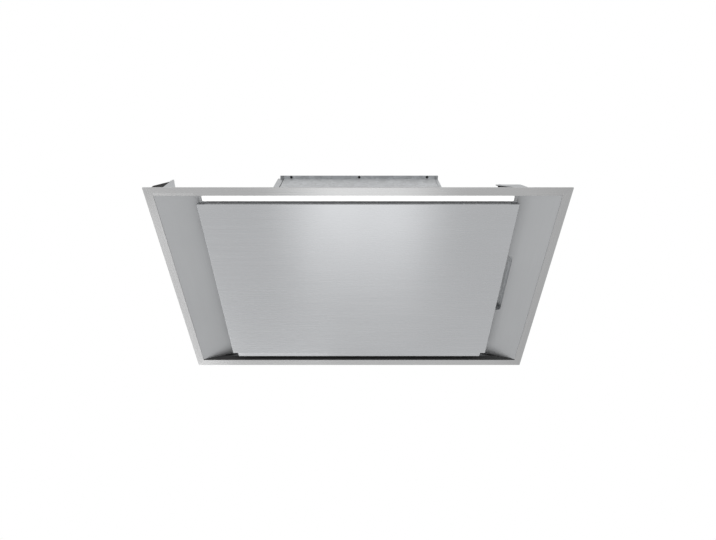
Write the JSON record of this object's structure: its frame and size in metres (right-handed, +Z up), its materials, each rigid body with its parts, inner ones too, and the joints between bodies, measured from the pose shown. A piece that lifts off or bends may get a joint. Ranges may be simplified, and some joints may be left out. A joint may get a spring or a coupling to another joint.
{
  "type": "ceiling range hood",
  "caption": "Flush ceiling extractor hood: flat frame, drop-down brushed panel, edge light bar, grease filters, centrifugal blower, side duct collar with flaps and turn-out clamps.",
  "frame": {"origin": "centre of the frame in the ceiling plane, on the upper face of the frame's border", "axes": "+X along the 900 mm side away from the duct, +Y away from the light, +Z up into the ceiling"},
  "size_m": [0.9, 0.5, 0.299],
  "materials": {
    "satin_stainless": "fine satin stainless",
    "brushed_stainless": "brushed stainless, grain along the long side",
    "galvanised": "galvanised sheet",
    "aluminium": "mill finish",
    "black_screw": "black oxide",
    "zinc_fastener": "zinc plated",
    "black_plastic": "fine moulded grain",
    "grey_plastic": "fine moulded grain",
    "pale_plastic": "fine moulded grain",
    "diffuser": "opal diffuser",
    "circuit_board": "solder resist",
    "rubber": "matt"
  },
  "bodies": {
    "hood": {"box_screws": "zinc_fastener", "cable_gland": "black_plastic", "canopy_body": "galvanised", "canopy_screws": "zinc_fastener", "catch_clips": "black_plastic", "clamp_pivots": "zinc_fastener", "collar_screws": "zinc_fastener", "connection_box": "grey_plastic", "connection_lid": "grey_plastic", "control_board": "circuit_board", "duct_collar": "grey_plastic", "far_air_guide": "black_plastic", "filter_core_1": "aluminium", "filter_core_2": "aluminium", "filter_core_3": "aluminium", "filter_deck": "galvanised", "filter_frame_1": "aluminium", "filter_frame_2": "aluminium", "filter_frame_3": "aluminium", "flap_shaft": "zinc_fastener", "grip_cup": "aluminium", "hinge_arm_far": "zinc_fastener", "hinge_arm_near": "zinc_fastener", "hinge_pins": "zinc_fastener", "housing_front": "galvanised", "housing_lid": "galvanised", "housing_screws": "black_screw", "led_board": "circuit_board", "light_diffuser": "diffuser", "light_housing": "pale_plastic", "motor_grommets": "rubber", "motor_housing": "galvanised", "motor_mount": "galvanised", "motor_stator": "aluminium", "outer_frame": "satin_stainless", "scroll_far": "grey_plastic", "scroll_near": "grey_plastic", "side_plate_left": "satin_stainless", "side_plate_right": "satin_stainless"},
    "panel": {"centre_panel": "brushed_stainless", "panel_back_tray": "galvanised", "hinge_leaf_near": "zinc_fastener", "hinge_leaf_far": "zinc_fastener", "catch_studs": "grey_plastic"},
    "latch_1": {"filter_latch_1": "black_plastic"},
    "latch_2": {"filter_latch_2": "black_plastic"},
    "latch_3": {"filter_latch_3": "black_plastic"},
    "fan": {"impeller": "black_plastic", "motor_rotor": "galvanised", "motor_shaft": "zinc_fastener"},
    "flap_near": {"flap_near": "grey_plastic"},
    "flap_far": {"flap_far": "grey_plastic"},
    "arm_near_left": {"clamp_arm_near_left": "galvanised"},
    "jaw_near_left": {"clamp_jaw_near_left": "black_plastic"},
    "arm_near_right": {"clamp_arm_near_right": "galvanised"},
    "jaw_near_right": {"clamp_jaw_near_right": "black_plastic"},
    "arm_far_left": {"clamp_arm_far_left": "galvanised"},
    "jaw_far_left": {"clamp_jaw_far_left": "black_plastic"},
    "arm_far_right": {"clamp_arm_far_right": "galvanised"},
    "jaw_far_right": {"clamp_jaw_far_right": "black_plastic"}
  },
  "joints": [
    {"name": "panel_hinge", "type": "hinge", "parent": "hood", "child": "panel", "pos_m": [-0.336, 0, 0.0055], "axis": [0, 1, 0], "range_deg": [0, 80]},
    {"name": "fan_spin", "type": "hinge", "parent": "hood", "child": "fan", "pos_m": [0.03, 0, 0.1935], "axis": [0, 1, 0], "continuous": true},
    {"name": "flap_near_swing", "type": "hinge", "parent": "hood", "child": "flap_near", "pos_m": [-0.227, 0, 0.2035], "axis": [0, 0, 1], "range_deg": [-75, 0], "stiffness_Nm_per_rad": 0.004, "springref_deg": 5.73},
    {"name": "flap_far_swing", "type": "hinge", "parent": "hood", "child": "flap_far", "pos_m": [-0.227, 0, 0.2035], "axis": [0, 0, 1], "range_deg": [0, 75], "stiffness_Nm_per_rad": 0.004, "springref_deg": -5.73},
    {"name": "latch_1_slide", "type": "slide", "parent": "hood", "child": "latch_1", "axis": [0, 1, 0], "range_m": [0, 0.005], "stiffness_N_per_m": 300, "springref_m": -0.002},
    {"name": "latch_2_slide", "type": "slide", "parent": "hood", "child": "latch_2", "axis": [0, 1, 0], "range_m": [0, 0.005], "stiffness_N_per_m": 300, "springref_m": -0.002},
    {"name": "latch_3_slide", "type": "slide", "parent": "hood", "child": "latch_3", "axis": [0, 1, 0], "range_m": [0, 0.005], "stiffness_N_per_m": 300, "springref_m": -0.002},
    {"name": "arm_near_left_turn", "type": "hinge", "parent": "hood", "child": "arm_near_left", "pos_m": [-0.386, -0.2347, 0.0115], "axis": [0, 1, 0], "range_deg": [0, 90]},
    {"name": "jaw_near_left_turn", "type": "hinge", "parent": "arm_near_left", "child": "jaw_near_left", "pos_m": [-0.419, -0.238, 0.0715], "axis": [0, 1, 0], "range_deg": [-57, 0]},
    {"name": "arm_near_right_turn", "type": "hinge", "parent": "hood", "child": "arm_near_right", "pos_m": [0.37, -0.2347, 0.0115], "axis": [0, 1, 0], "range_deg": [0, 90]},
    {"name": "jaw_near_right_turn", "type": "hinge", "parent": "arm_near_right", "child": "jaw_near_right", "pos_m": [0.31, -0.238, 0.0445], "axis": [0, 1, 0], "range_deg": [-57, 0]},
    {"name": "arm_far_left_turn", "type": "hinge", "parent": "hood", "child": "arm_far_left", "pos_m": [-0.386, 0.2332, 0.0115], "axis": [0, 1, 0], "range_deg": [0, 90]},
    {"name": "jaw_far_left_turn", "type": "hinge", "parent": "arm_far_left", "child": "jaw_far_left", "pos_m": [-0.419, 0.2365, 0.0715], "axis": [0, 1, 0], "range_deg": [-57, 0]},
    {"name": "arm_far_right_turn", "type": "hinge", "parent": "hood", "child": "arm_far_right", "pos_m": [0.386, 0.2332, 0.0115], "axis": [0, 1, 0], "range_deg": [-90, 0]},
    {"name": "jaw_far_right_turn", "type": "hinge", "parent": "arm_far_right", "child": "jaw_far_right", "pos_m": [0.419, 0.2365, 0.0715], "axis": [0, 1, 0], "range_deg": [0, 57]}
  ]
}
